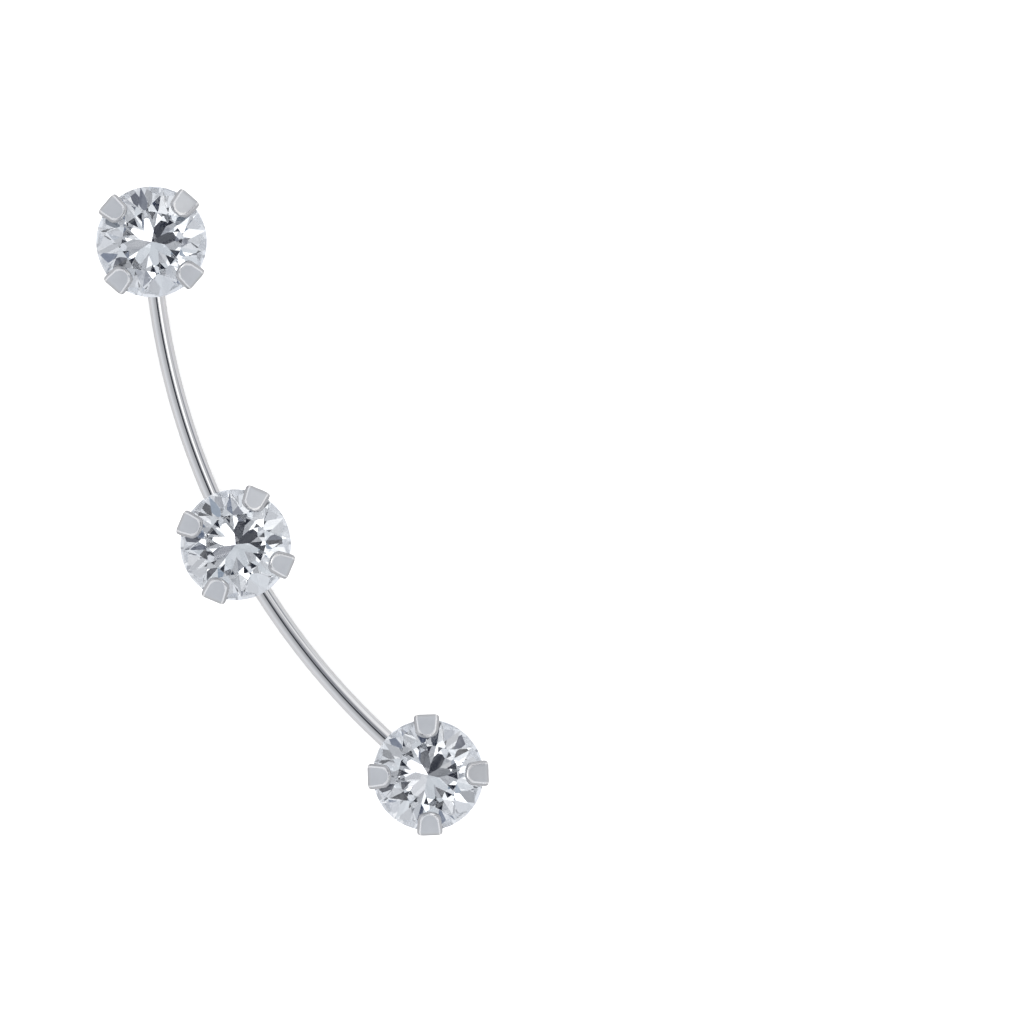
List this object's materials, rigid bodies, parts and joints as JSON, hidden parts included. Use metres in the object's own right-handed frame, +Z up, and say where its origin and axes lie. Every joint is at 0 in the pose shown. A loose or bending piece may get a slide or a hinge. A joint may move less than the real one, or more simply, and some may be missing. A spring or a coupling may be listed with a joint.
{
  "type": "ear climber earring",
  "caption": "Ear climber earring: round faceted stones in pronged heads along a curved silver wire, bent back into a pin behind the ear.",
  "frame": {"origin": "middle of the footprint, on the surface that the pin rests on", "axes": "+Z up, the way the stones face; +Y from the lower head to the upper one; +X to the right of a viewer who faces the stones with the pin's bend at the lower right"},
  "size_m": [0.016, 0.0264, 0.0098],
  "materials": {
    "silver": "polished rhodium-plated silver, with the prongs' tops satin",
    "stone": "polished facets, colourless cubic zirconia"
  },
  "bodies": {
    "root": {"climber_frame": "silver", "stone_top": "stone", "stone_middle": "stone", "stone_bottom": "stone"}
  },
  "joints": []
}
